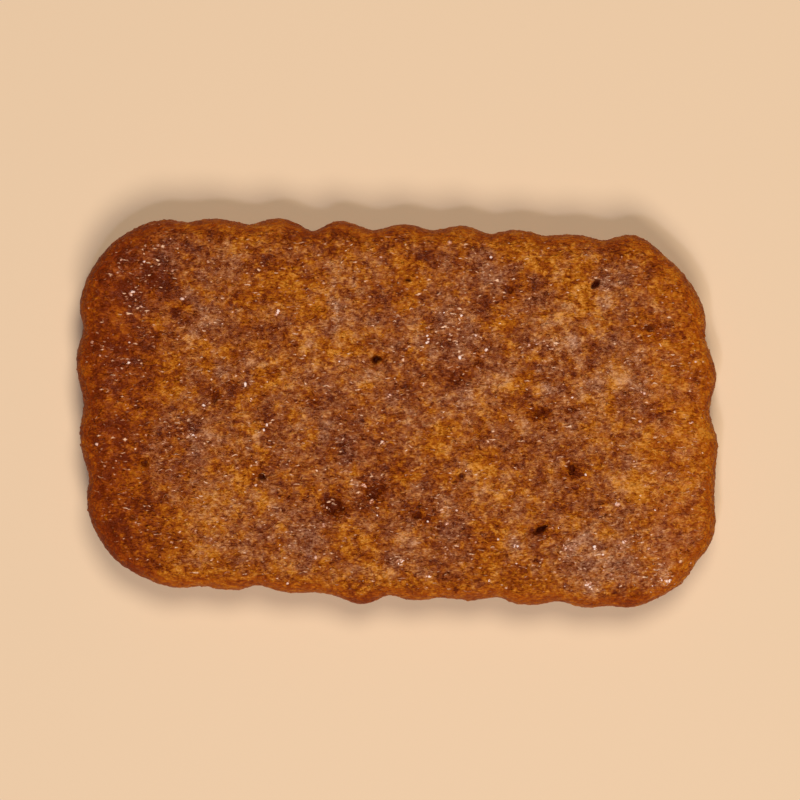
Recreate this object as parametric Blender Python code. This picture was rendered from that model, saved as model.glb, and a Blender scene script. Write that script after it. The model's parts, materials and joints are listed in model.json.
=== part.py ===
"""A speculoos: one thin, caramelised spice biscuit with a scalloped edge, lying with its plain side up.

Metres, +Z up. The origin is the middle of the flat underside, and the long side runs along X.
The biscuit is one solid: a grid gives the top face, its rim is extruded down ring by ring
to the underside, and the crust's swells, crumb and pits are relief in the top face.
"""

import math

import bmesh
import bpy
from mathutils import Vector, noise

MM = 0.001

# Driving dimensions
LENGTH = 60.3 * MM  # across the middles of the two short sides, without the scallops
WIDTH = 35.4 * MM  # across the middles of the two long sides, without the scallops
THICKNESS = 7.0 * MM
LEAN = -0.09  # the short sides lean: x shifts by this share of y
CORNER_RADII = {  # by the signs of x and y
    (1, 1): 9.2 * MM,
    (-1, 1): 11.0 * MM,
    (-1, -1): 8.6 * MM,
    (1, -1): 10.7 * MM,
}

# The edge in section: (inset from the widest outline, height), from the top face down to the underside
ROLL_IN = 2.2 * MM  # how far in the rounded top edge begins
ROLL_DOWN = 2.5 * MM  # how far down it ends, where the biscuit is widest
ROLL_STEPS = 4
WALL = (
    (0.10 * MM, 3.2 * MM),
    (0.30 * MM, 1.9 * MM),
    (0.65 * MM, 0.8 * MM),
    (1.10 * MM, 0.25 * MM),
    (1.80 * MM, 0.0),
)

# The scalloped edge, side by side: (place along the side, depth of the notch between two scallops)
SCALLOP_REACH = 2.8 * MM  # half a scallop: how far a notch is felt along the edge
NOTCHES = {
    "back": ((-21.0, 0.55), (-14.8, 0.60), (-8.8, 1.05), (-3.3, 0.55), (2.2, 0.32), (7.8, 0.50),
             (13.3, 0.38), (18.8, 0.60)),
    "front": ((-23.2, 0.20), (-17.8, 0.42), (-12.4, 0.85), (-6.9, 0.20), (0.1, 0.45), (5.0, 0.32),
              (10.2, 0.62), (16.3, 0.50), (21.0, 0.20)),
    "left": ((-7.5, 0.45), (-0.7, 0.30), (6.8, 0.60)),
    "right": ((-13.2, 0.30), (-7.0, 0.28), (0.9, 0.32), (8.6, 0.45)),
}
# and (place along the side, how far a scallop bulges past the plain outline)
BULGES = {
    "back": ((-11.9, 0.32), (-6.2, 0.38), (0.4, 0.32), (5.8, 0.42), (11.0, 0.20), (22.2, 0.50)),
    "front": ((-2.7, 0.85), (2.0, 0.30), (12.8, 0.22), (18.4, 0.22), (23.2, 0.18)),
    "left": ((-3.6, 0.36), (3.3, 0.34)),
    "right": ((-1.9, 0.36), (4.9, 0.60), (-10.4, 0.14)),
}
SCALLOP_FADE = 4.5 * MM  # the scallops die away this far in from the edge

# The crust's relief
SWELLS = ((9.0 * MM, 0.16 * MM), (3.4 * MM, 0.11 * MM), (1.6 * MM, 0.10 * MM))  # (width, height)
WALL_ROUGHNESS = ((2.6 * MM, 0.10 * MM), (1.3 * MM, 0.06 * MM))
SEED_PLACE = Vector((3.7, 1.9, 8.3))
DISH = 0.25 * MM  # the face is this much lower in the middle than at its rim's crest
PITS = (  # x, y, half length, half width and depth in millimetres, and the turn in degrees
    (-2.0, 4.9, 0.60, 0.50, 1.00, 0),
    (18.2, 12.9, 0.60, 0.40, 0.80, 50),
    (14.2, -10.4, 0.95, 0.42, 0.95, 24),
    (19.5, -7.6, 1.10, 0.45, 0.35, 0),
    (-5.7, -9.2, 1.05, 1.30, 0.60, 0),
    (-2.2, -7.7, 1.30, 0.95, 0.50, 0),
    (2.5, -10.0, 1.00, 0.60, 0.45, 0),
    (-12.6, -6.8, 0.55, 0.45, 0.60, 0),
    (16.8, -4.7, 0.60, 1.00, 0.50, 0),
    (13.5, 0.3, 0.95, 0.75, 0.45, 0),
    (5.7, 4.4, 1.30, 0.90, 0.40, 0),
    (-25.5, 10.2, 1.60, 1.40, 0.45, 0),
    (-23.8, -5.9, 0.50, 0.50, 0.40, 0),
    (13.7, 11.8, 0.45, 0.40, 0.40, 0),
    (25.0, 8.5, 1.20, 0.50, 0.30, 20),
)

# Fineness of the faces
GRID = (76, 42)

CRUST_COLOUR = (0.28, 0.078, 0.016, 1.0)


def clear_scene():
    for old in list(bpy.data.objects):
        bpy.data.objects.remove(old, do_unlink=True)


def scallop(side, along):
    """How far the edge of a side stands out past the plain outline, at a place along it."""
    offset = 0.0
    for place, depth in NOTCHES[side]:
        near = max(0.0, 1.0 - abs(along - place * MM) / SCALLOP_REACH)
        offset -= depth * MM * near**2
    for place, rise in BULGES[side]:
        near = min(1.0, abs(along - place * MM) / SCALLOP_REACH)
        offset += rise * MM * (1.0 - near**2) ** 2
    return offset


def corner_point(p, q, radius):
    """Bends a corner square into a quarter disc: the point, and how deep it lies inside the disc."""
    reach = max(p, q)
    turn = math.pi / 4 * (q / p if p > q else 2 - p / q)
    return reach * math.cos(turn), reach * math.sin(turn), radius - reach


def plan(across, along, inset, fluted=False):
    """Where a point of the unit grid lies in plan, inside the outline shrunk by inset.

    The scallops die away from the edge inwards, but a fluted ring, on the wall, keeps them whole.
    """
    half_x, half_y = LENGTH / 2 - inset, WIDTH / 2 - inset
    sign_x, sign_y = (1 if across >= 0 else -1), (1 if along >= 0 else -1)
    x, y = abs(across) * half_x, abs(along) * half_y
    radius = CORNER_RADII[sign_x, sign_y] - inset
    p, q = x - (half_x - radius), y - (half_y - radius)
    if p > 0 and q > 0:
        p, q, depth = corner_point(p, q, radius)
        x, y = half_x - radius + p, half_y - radius + q
        outward = Vector((p, q)).normalized()
        on_long_side = q > p
    else:
        on_long_side = half_y - y < half_x - x
        depth = min(half_y - y, half_x - x)
        outward = Vector((0, 1)) if on_long_side else Vector((1, 0))
    if on_long_side:
        offset = scallop("back" if sign_y > 0 else "front", sign_x * x + LEAN * sign_y * y)
    else:
        offset = scallop("right" if sign_x > 0 else "left", sign_y * y)
    if not fluted:
        offset *= max(0.0, 1.0 - (depth + inset) / SCALLOP_FADE) ** 2
    x, y = sign_x * (x + outward.x * offset), sign_y * (y + outward.y * offset)
    return x + LEAN * y, y


def waves(place, scales):
    """Soft random relief at a place: the sum of a few waves, each (width, height)."""
    return sum(height * noise.noise(place / width + SEED_PLACE * (i + 1))
               for i, (width, height) in enumerate(scales))


def pit_depth(x, y):
    """How deep the pits press the crust at a place."""
    depth = 0.0
    for pit_x, pit_y, half_length, half_width, deep, turn in PITS:
        dx, dy = x / MM - pit_x, y / MM - pit_y
        c, s = math.cos(math.radians(turn)), math.sin(math.radians(turn))
        off = math.hypot((c * dx + s * dy) / half_length, (c * dy - s * dx) / half_width)
        depth = max(depth, deep * MM * max(0.0, 1.0 - off**2 / 2) ** 2)
    return depth


def crust_height(x, y):
    """The height of the top face: a shallow dish with swells, crumb and pits."""
    middle = 1.0 - min(1.0, (2 * x / LENGTH) ** 2 + (2 * y / WIDTH) ** 2)
    return THICKNESS - DISH * middle + waves(Vector((x, y, 0.0)), SWELLS) - pit_depth(x, y)


def edge_rings():
    """The edge in section from the top face's rim down: inset, and drop below the crust or height."""
    for step in range(1, ROLL_STEPS + 1):
        turn = math.pi / 2 * step / ROLL_STEPS
        yield ROLL_IN * (1 - math.sin(turn)), ROLL_DOWN * (1 - math.cos(turn)), None
    for inset, height in WALL:
        yield inset, None, height


def centre_points_on_pits(verts):
    """Moves the nearest point of the grid to the middle of each pit, so that a small pit keeps its depth."""
    for pit_x, pit_y, *_ in PITS:
        middle = Vector((pit_x * MM, pit_y * MM))
        nearest = min(verts, key=lambda v: (v.co.xy - middle).length_squared)
        nearest.co.xy = middle


def centre_on_origin(bm):
    """Slides the biscuit in plan so that the middle of its length and width is at the origin."""
    places = [v.co.xy for v in bm.verts]
    middle = [(min(p[i] for p in places) + max(p[i] for p in places)) / 2 for i in (0, 1)]
    bmesh.ops.translate(bm, verts=bm.verts, vec=(-middle[0], -middle[1], 0.0))


def make_biscuit():
    bm = bmesh.new()
    across, along = bm.verts.layers.float.new("across"), bm.verts.layers.float.new("along")
    bmesh.ops.create_grid(bm, x_segments=GRID[0], y_segments=GRID[1], size=1.0)
    for v in bm.verts:
        v[across], v[along] = v.co.x, v.co.y
        v.co.xy = plan(v[across], v[along], ROLL_IN)
    centre_points_on_pits([v for v in bm.verts if not v.is_boundary])
    for v in bm.verts:
        v.co.z = crust_height(v.co.x, v.co.y)

    rim = [e for e in bm.edges if e.is_boundary]
    for inset, drop, height in edge_rings():
        made = bmesh.ops.extrude_edge_only(bm, edges=rim)["geom"]
        rim = [g for g in made if isinstance(g, bmesh.types.BMEdge) and g.is_boundary]
        for v in {v for e in rim for v in e.verts}:
            x, y = plan(v[across], v[along], inset, fluted=drop is None)
            z = height if drop is None else crust_height(x, y) - drop
            lumps = 1.0 + waves(Vector((x, y, z)), WALL_ROUGHNESS) / math.hypot(x, y) if z > 0 else 1.0
            v.co = (x * lumps, y * lumps, z)
    bmesh.ops.contextual_create(bm, geom=rim)
    bmesh.ops.recalc_face_normals(bm, faces=bm.faces)
    centre_on_origin(bm)

    mesh = bpy.data.meshes.new("biscuit")
    bm.to_mesh(mesh)
    bm.free()
    mesh.shade_smooth()
    mesh.set_sharp_from_angle(angle=math.radians(50))
    return bpy.data.objects.new("biscuit", mesh)


def crust_material():
    material = bpy.data.materials.new("baked crust")
    material.use_nodes = True
    shader = material.node_tree.nodes["Principled BSDF"]
    shader.inputs["Base Color"].default_value = CRUST_COLOUR
    shader.inputs["Roughness"].default_value = 0.45
    shader.inputs["Metallic"].default_value = 0.0
    return material


def main():
    clear_scene()
    parts = bpy.data.collections.new("speculoos")
    bpy.context.scene.collection.children.link(parts)
    biscuit = make_biscuit()
    biscuit.data.materials.append(crust_material())
    parts.objects.link(biscuit)


main()
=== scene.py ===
"""Dresses the speculoos: a caramelised crust with crumb, pits and sugar glints, on a plain pale floor.

Run as a script. It is laid out as an add-on, so the sizes and colours can also be changed in the sidebar.
Metres, +Z up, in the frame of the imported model: the flat underside lies on z = 0, the long side along X.
"""

import json
import math

import bpy
import numpy as np
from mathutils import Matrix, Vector, noise

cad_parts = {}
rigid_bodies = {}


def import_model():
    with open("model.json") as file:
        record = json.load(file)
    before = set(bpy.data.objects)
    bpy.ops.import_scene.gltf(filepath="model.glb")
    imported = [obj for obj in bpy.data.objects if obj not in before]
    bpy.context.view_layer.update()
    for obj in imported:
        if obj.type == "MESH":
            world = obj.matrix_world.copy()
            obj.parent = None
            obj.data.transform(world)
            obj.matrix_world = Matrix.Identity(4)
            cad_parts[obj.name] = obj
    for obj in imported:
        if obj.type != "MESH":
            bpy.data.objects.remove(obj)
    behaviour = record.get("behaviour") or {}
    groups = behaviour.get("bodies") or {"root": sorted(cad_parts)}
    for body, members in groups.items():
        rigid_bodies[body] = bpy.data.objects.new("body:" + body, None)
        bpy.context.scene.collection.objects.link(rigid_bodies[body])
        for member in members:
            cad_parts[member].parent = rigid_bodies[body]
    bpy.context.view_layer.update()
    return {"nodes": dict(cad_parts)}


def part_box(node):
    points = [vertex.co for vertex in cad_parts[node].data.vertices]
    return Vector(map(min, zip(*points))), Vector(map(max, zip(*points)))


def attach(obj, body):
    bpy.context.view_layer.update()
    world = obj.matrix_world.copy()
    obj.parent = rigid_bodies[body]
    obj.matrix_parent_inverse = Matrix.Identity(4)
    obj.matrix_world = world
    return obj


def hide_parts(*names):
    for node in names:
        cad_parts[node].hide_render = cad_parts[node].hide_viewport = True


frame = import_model()

bl_info = {
    "name": "Speculoos",
    "version": (1, 0, 0),
    "blender": (4, 5, 0),
    "location": "3D View > Sidebar > Speculoos",
    "description": "Makes the crust, crumb and stage of a caramelised spice biscuit",
    "category": "Object",
}

MM = 0.001
NODE = "biscuit"
BODY = "root"
LOW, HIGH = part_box(NODE)

# The photograph's frame
PHOTO_SIDE = 800  # pixels
PIXELS_PER_MM = 10.5
BISCUIT_TURN = math.radians(2.466)  # the biscuit lies turned clockwise by this much
BISCUIT_PIXEL = Vector((397.15, 412.1))  # where the middle of its plain outline shows
OUTLINE_MIDDLE = Vector((0.0, 0.21 * MM))  # and where that middle is on the model
WIDEST = 4.5 * MM  # the height at which the biscuit is widest

# Pits in the crust: x, y, half length, half width and depth in millimetres, and the turn in degrees
PITS = (
    (-2.2, 5.1, 0.44, 0.32, 0.95, 30), (18.3, 13.2, 0.6, 0.25, 0.75, 50),
    (14.1, -10.3, 0.62, 0.24, 0.9, 35), (16.8, -4.5, 0.32, 0.52, 0.5, -10),
    (13.6, 0.7, 0.7, 0.36, 0.45, 12), (-12.6, -6.5, 0.4, 0.34, 0.65, 0),
    (-23.8, -5.7, 0.36, 0.36, 0.45, 0), (0.5, 12.8, 0.38, 0.2, 0.6, 0),
    (6.4, -5.6, 0.32, 0.24, 0.6, 30), (14.3, -5.8, 0.26, 0.22, 0.35, 0),
    (28.2, -3.2, 0.42, 0.12, 0.3, 20), (23.3, -16.3, 0.22, 0.2, 0.35, 0),
    (0.6, 2.7, 0.42, 0.18, 0.4, 10), (-17.2, 0.8, 0.24, 0.66, 0.45, -25),
    (19.6, -7.4, 0.7, 0.16, 0.3, 8), (2.3, -9.6, 0.45, 0.3, 0.4, 0),
    (-1.9, -7.6, 0.7, 0.6, 0.35, 0), (-5.6, -9.0, 0.75, 0.85, 0.35, 0),
    (-10.3, -9.6, 0.26, 0.22, 0.35, 0), (-24.7, -10.8, 0.34, 0.3, 0.4, 0),
    (7.2, 5.2, 0.6, 0.24, 0.35, 25), (23.6, 9.2, 0.55, 0.3, 0.45, 0),
    (25.6, 9.8, 0.3, 0.24, 0.35, 0), (10.2, 12.3, 0.24, 0.26, 0.35, 0),
    (13.6, 12.0, 0.26, 0.24, 0.4, 0), (-25.6, 14.2, 0.38, 0.32, 0.35, 0),
    (1.2, -6.0, 0.28, 0.1, 0.2, 15), (5.5, 3.6, 0.6, 0.8, 0.3, 0),
    (-5.1, -2.9, 0.6, 0.6, 0.2, 0),
)

# Patches of the crust that baked darker: x, y, half length and half width in millimetres, and strength
DARK_PATCHES = (
    (-23.3, 11.8, 1.7, 1.6, 1.0), (-26.0, 10.4, 1.8, 1.4, 1.0), (-26.6, 14.0, 1.8, 1.3, 0.7),
    (-28.2, 12.6, 1.2, 2.8, 0.5), (-22.0, 14.8, 3.2, 1.6, 0.4), (-28.4, 9.3, 1.5, 0.9, 0.5),
    (-21.5, 9.1, 1.0, 0.7, 0.65), (-20.5, 8.1, 1.2, 0.6, 0.7),
    (-26.5, 5.6, 3.2, 1.1, 0.65), (-26.6, 3.6, 2.0, 1.5, 0.5),
    (-24.2, 2.2, 2.0, 2.4, 0.4), (-28.6, 1.5, 1.1, 3.2, 0.35), (-26.8, -2.8, 2.2, 1.3, 0.8),
    (-26.8, -5.6, 1.6, 1.2, 0.5), (-27.8, -8.5, 1.3, 3.0, 0.55), (-26.6, -12.3, 2.2, 2.4, 0.7),
    (-24.6, -15.2, 2.4, 1.5, 0.55), (-23.6, -9.6, 1.8, 1.4, 0.5), (-20.6, -6.2, 1.1, 1.1, 0.2),
    (-21.8, -2.5, 1.3, 1.0, 0.45), (-17.3, 1.4, 2.0, 0.9, 0.65), (-19.4, -1.8, 1.3, 1.3, 0.35),
    (-13.6, 7.2, 2.8, 1.0, 0.35), (-13.0, 13.8, 1.8, 1.0, 0.6), (-9.6, 16.6, 2.0, 1.1, 0.5),
    (-18.6, 16.4, 1.7, 1.2, 0.4), (-2.2, 10.6, 1.8, 0.9, 0.45), (-0.9, 8.8, 0.9, 2.0, 0.3),
    (-6.5, 0.6, 1.8, 1.1, 0.3), (-5.1, -3.0, 1.3, 1.4, 0.7), (-2.2, -3.5, 1.8, 0.9, 0.4),
    (-11.8, -1.0, 0.9, 0.7, 0.4), (-12.2, -5.6, 1.3, 1.1, 0.35), (-1.9, -7.5, 1.4, 1.4, 1.0),
    (-5.7, -9.0, 1.3, 1.3, 0.95), (0.4, -5.0, 1.8, 0.9, 0.45), (2.7, -9.6, 1.4, 1.0, 0.65),
    (5.4, -11.2, 2.2, 2.0, 0.22), (4.6, -14.2, 1.4, 1.4, 0.4), (0.7, 3.0, 1.5, 1.8, 0.25),
    (5.2, 3.8, 1.5, 1.2, 0.8), (7.2, 5.1, 1.1, 0.6, 0.55), (7.7, 10.8, 1.2, 1.4, 0.6),
    (9.9, 12.2, 0.8, 1.2, 0.5), (12.6, 13.0, 1.1, 1.0, 0.45), (3.0, 15.1, 1.8, 0.7, 0.45),
    (11.9, 2.6, 0.9, 0.7, 0.45), (13.6, 0.8, 1.2, 0.7, 0.75), (16.0, 1.2, 1.3, 0.8, 0.35),
    (18.2, 5.9, 0.8, 1.2, 0.2), (24.8, 4.9, 1.2, 0.9, 0.25),
    (16.7, -4.5, 0.7, 0.9, 0.65), (17.4, -2.6, 0.9, 0.9, 0.5),
    (17.4, -7.2, 1.8, 1.2, 0.25), (14.1, -10.4, 1.0, 0.6, 0.55), (23.6, 8.9, 2.2, 1.1, 0.5),
    (24.0, 1.4, 2.4, 0.9, 0.3), (28.4, 3.8, 1.2, 1.4, 0.25), (19.8, 16.2, 1.2, 1.0, 0.35),
    (23.4, 15.2, 1.8, 1.4, 0.45), (26.6, 10.0, 1.2, 2.0, 0.3), (22.6, -16.8, 1.6, 1.0, 0.75),
    (-2.4, -17.8, 2.4, 0.9, 0.55), (4.4, -14.2, 0.9, 1.0, 0.5), (8.4, -12.0, 1.6, 1.2, 0.25),
    (0.2, -5.1, 1.4, 0.7, 0.45), (-15.6, 10.6, 1.4, 0.9, 0.3),
    (-14.0, 13.8, 3.0, 1.0, 0.3), (-6.2, 16.8, 1.6, 0.9, 0.35), (-0.6, 16.8, 1.6, 0.9, 0.35),
    (-12.4, -5.8, 0.9, 1.0, 0.4), (-24.0, 16.6, 3.0, 0.8, 0.35), (-21.0, -12.4, 2.4, 1.2, 0.2),
    (4.0, 7.2, 1.4, 1.4, 0.45), (22.5, 12.6, 1.6, 1.2, 0.3), (-22.2, 10.4, 1.0, 0.9, 0.6),
    (-24.8, 8.6, 1.8, 0.8, 0.35), (-27.5, 2.0, 1.2, 1.2, 0.35), (-26.0, -6.6, 1.6, 1.0, 0.5),
    (-24.0, -11.6, 1.4, 1.2, 0.4), (-10.6, -12.6, 1.2, 1.0, 0.3), (25.6, -8.4, 1.8, 0.9, 0.25),
)
# and paler, golden
GOLDEN_PATCHES = (
    (-21.4, 2.9, 1.6, 2.0, 0.2), (-12.0, 4.0, 1.4, 0.8, 0.7), (-10.8, 2.6, 1.6, 0.9, 0.5),
    (-8.7, 6.7, 0.8, 1.5, 1.10), (-5.8, 7.4, 0.8, 1.6, 1.0), (-6.2, 9.8, 1.0, 1.2, 0.95),
    (-5.8, 12.6, 0.9, 1.6, 0.5), (-2.7, 7.8, 1.8, 1.0, 0.45), (-2.9, 3.3, 1.3, 0.9, 0.75),
    (-10.8, 11.2, 1.2, 0.8, 0.5), (-16.2, 14.6, 1.2, 1.2, 0.4), (-18.0, 8.0, 1.8, 0.9, 0.2),
    (-19.6, 6.4, 1.4, 1.0, 0.4), (-9.2, -0.8, 0.9, 1.6, 0.65), (-17.0, 3.4, 0.9, 0.7, 0.6),
    (-17.6, -2.8, 1.5, 0.6, 0.65), (-13.4, -2.6, 0.8, 1.4, 0.6), (-6.6, -1.2, 0.9, 1.8, 0.45),
    (-15.0, -7.0, 1.6, 0.7, 0.5), (-12.6, -8.6, 1.4, 0.8, 0.5), (-17.2, -9.0, 1.6, 1.6, 0.75),
    (-14.6, -9.6, 1.6, 1.0, 0.6), (-17.6, -13.4, 1.0, 2.4, 0.35), (-10.6, -14.2, 0.9, 1.0, 0.4),
    (-3.2, -11.6, 1.2, 1.0, 0.35), (1.4, -12.2, 1.2, 1.2, 0.7), (-1.6, -15.2, 1.6, 1.2, 0.6),
    (3.4, -15.0, 0.9, 0.7, 0.6), (5.0, -8.4, 0.7, 1.0, 0.15), (-4.4, -7.0, 1.2, 0.8, 0.35),
    (1.4, 7.8, 0.7, 1.6, 0.8), (1.2, 11.4, 1.2, 1.4, 0.35), (8.9, 8.5, 0.9, 0.7, 0.55),
    (6.8, 1.8, 1.8, 1.2, 0.7), (9.9, 3.4, 1.0, 1.0, 0.8), (3.0, 0.8, 1.0, 0.6, 0.5),
    (7.8, -5.0, 1.6, 0.8, 0.75), (8.0, -7.0, 0.8, 1.2, 0.7), (9.8, -7.6, 0.9, 1.0, 0.75),
    (11.6, -11.4, 1.4, 1.0, 0.75), (11.0, -9.4, 1.0, 1.2, 0.5), (4.0, -2.8, 1.6, 1.6, 0.4),
    (11.4, -0.8, 0.8, 1.0, 0.5), (13.8, 2.8, 0.9, 0.6, 0.5), (15.0, 7.9, 1.8, 1.0, 0.8),
    (14.2, 9.4, 1.6, 0.8, 0.9), (18.4, 8.8, 1.4, 0.8, 0.8), (14.9, 13.9, 1.6, 0.8, 0.6),
    (16.6, 12.0, 1.0, 1.6, 0.75), (19.0, 11.2, 0.9, 1.4, 1.0), (20.8, 13.0, 0.9, 1.6, 0.35),
    (11.6, 15.4, 1.4, 0.7, 0.5), (17.4, 15.6, 1.2, 0.6, 0.45), (20.7, 4.3, 1.4, 0.9, 1.50),
    (18.4, 2.4, 1.0, 1.4, 0.5), (17.8, 0.8, 0.8, 0.6, 0.55), (22.8, 6.6, 0.7, 1.0, 0.5),
    (25.9, 3.5, 0.8, 0.9, 0.2), (18.4, -1.9, 0.7, 0.6, 0.55), (22.9, -6.4, 1.9, 1.5, 0.95),
    (22.6, -3.2, 0.8, 1.2, 0.7), (23.4, -0.8, 0.9, 0.8, 0.65), (24.4, -9.2, 0.9, 1.6, 0.3),
    (20.0, -10.2, 1.4, 0.8, 0.55), (27.4, -1.6, 1.0, 1.4, 0.45), (29.3, -0.5, 0.9, 0.8, 0.9),
    (27.0, -5.6, 1.8, 0.8, 0.5), (15.6, 11.0, 1.6, 1.2, 0.6), (17.4, -11.4, 1.0, 1.4, 0.6),
    (19.8, -12.6, 1.2, 1.6, 0.5), (18.0, -9.6, 0.9, 0.6, 0.6), (19.6, -15.0, 1.4, 1.2, 0.35),
    (26.2, -14.8, 0.8, 0.7, 0.2), (-24.2, -11.3, 0.9, 0.8, 0.15), (-22.0, -12.4, 1.2, 1.0, 0.2),
    (-27.3, 1.6, 0.8, 1.2, 0.25), (-24.6, 9.0, 0.9, 0.9, 0.15), (-22.6, 8.2, 0.9, 1.2, 0.2),
    (-22.1, 9.1, 0.35, 0.35, 1.40), (-22.0, 4.6, 0.8, 2.0, 0.15), (-22.4, 0.4, 0.9, 1.6, 0.2),
)
# where a dull bloom of fine sugar greys the crust, with painted sheen: the greyish colour stands partly for a
# broad specular haze
BLOOM_AND_SHEEN_PATCHES = (
    (-22.8, 14.4, 1.6, 2.0, 0.95), (-21.0, 15.7, 1.4, 0.7, 0.6), (-26.3, 13.9, 1.0, 0.9, 0.6),
    (-25.7, 10.3, 0.8, 0.8, 0.85), (-24.9, 9.1, 0.8, 0.6, 0.8), (-20.3, 10.4, 0.9, 0.7, 0.9),
    (-17.6, 13.3, 2.4, 1.5, 0.45), (-18.2, 8.7, 2.2, 1.2, 0.6), (-19.4, 7.3, 1.8, 0.7, 0.6),
    (-19.5, -2.4, 1.0, 1.4, 1.0), (-17.2, -3.3, 1.9, 0.7, 0.65), (-19.0, -5.0, 0.8, 1.1, 0.6),
    (-18.2, 0.3, 0.8, 0.8, 0.75), (-22.3, -2.4, 0.9, 1.6, 0.45), (-21.8, -6.5, 1.2, 0.9, 0.5),
    (-16.6, 3.3, 1.2, 0.8, 0.4), (-14.3, 2.8, 0.5, 1.1, 0.55), (-6.6, 2.4, 1.3, 1.3, 0.65),
    (-6.7, -0.8, 0.9, 1.8, 0.8), (-4.8, -3.6, 1.1, 1.5, 1.10), (-3.4, -1.2, 1.1, 0.6, 0.5),
    (-1.6, -2.8, 0.9, 0.5, 0.6), (-6.0, 9.6, 1.1, 2.2, 0.35), (-6.3, 7.8, 1.1, 0.6, 0.7),
    (-6.2, 12.6, 0.9, 0.9, 0.25), (-11.8, 8.5, 1.1, 0.7, 0.5), (-8.2, -12.0, 1.7, 2.0, 0.95),
    (-10.2, -9.6, 1.2, 0.8, 0.7), (-7.0, -10.8, 0.9, 0.7, 0.7), (-13.2, -12.0, 2.0, 1.6, 0.5),
    (-3.6, -7.1, 0.6, 1.2, 0.5), (-1.8, -6.1, 1.3, 0.5, 0.5), (-3.2, -15.2, 1.5, 0.7, 0.4),
    (0.7, -14.0, 0.9, 0.9, 0.85), (1.5, -12.6, 1.2, 1.1, 0.5), (3.5, -14.9, 0.8, 0.7, 0.65),
    (5.4, -8.5, 0.9, 0.8, 0.7), (5.4, -11.0, 1.1, 1.5, 0.8), (2.5, -6.4, 1.2, 1.1, 0.4),
    (4.0, 9.4, 1.4, 1.3, 0.95), (5.5, 6.6, 1.2, 1.5, 0.85), (3.5, 7.0, 1.2, 1.8, 0.6),
    (6.6, 8.5, 0.9, 1.5, 0.6), (7.6, 14.2, 1.4, 2.4, 0.6), (8.8, 12.9, 0.8, 1.4, 0.8),
    (10.6, 13.8, 0.8, 0.7, 0.5), (6.0, 12.6, 1.3, 0.9, 0.45), (2.3, 15.9, 1.3, 0.5, 0.5),
    (4.0, 14.4, 0.7, 0.7, 0.5), (-0.4, 7.2, 0.9, 3.2, 0.5), (-0.6, 1.4, 0.7, 1.0, 0.8),
    (0.3, 3.1, 0.7, 0.7, 0.6), (0.6, -1.6, 0.7, 0.7, 0.5), (6.0, 2.0, 1.3, 1.6, 0.6),
    (8.2, 3.0, 1.8, 0.6, 0.5), (12.6, 11.5, 1.6, 0.6, 0.7), (15.8, 7.6, 2.4, 0.9, 0.45),
    (19.8, 7.4, 2.4, 0.9, 0.6), (22.8, 6.2, 0.9, 1.3, 0.8), (22.6, 3.6, 1.1, 1.4, 0.6),
    (22.8, 1.8, 0.9, 0.9, 0.6), (18.4, 3.7, 1.1, 0.8, 0.7), (14.3, 2.8, 1.0, 0.7, 0.85),
    (14.4, 4.5, 0.8, 0.7, 0.6), (16.6, -1.2, 1.2, 1.5, 0.5), (14.8, -3.2, 1.3, 0.9, 0.4),
    (18.9, 13.4, 1.1, 0.9, 0.9), (20.6, 13.9, 1.1, 1.6, 0.6), (18.2, -12.8, 2.4, 2.2, 0.7),
    (17.0, -12.2, 0.8, 0.9, 1.0), (19.6, -11.9, 0.9, 0.8, 1.0), (21.8, -13.2, 1.8, 2.0, 0.65),
    (18.8, -15.4, 1.4, 1.2, 0.75), (21.4, -8.2, 1.0, 2.2, 0.45), (22.0, -11.2, 0.8, 0.8, 0.8),
    (20.4, -5.6, 0.8, 0.6, 0.4), (26.0, -14.2, 0.8, 1.5, 1.0),
    (26.0, -11.4, 0.9, 1.5, 0.7), (28.4, -10.6, 1.4, 0.6, 0.4), (11.4, -11.9, 1.1, 0.7, 0.6),
    (15.4, -6.2, 0.8, 0.8, 0.6), (14.8, -9.3, 1.0, 0.6, 0.5), (26.6, -3.0, 0.7, 0.7, 0.5),
    (22.3, -3.6, 0.8, 0.5, 0.6), (-25.8, 3.7, 0.7, 0.6, 0.6), (-26.9, 1.6, 0.7, 0.8, 0.6),
    (-26.6, -4.5, 0.7, 0.7, 0.5), (-17.0, -12.6, 1.2, 0.7, 0.4), (0.0, 1.0, 19.0, 9.0, 0.16),
)
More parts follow.
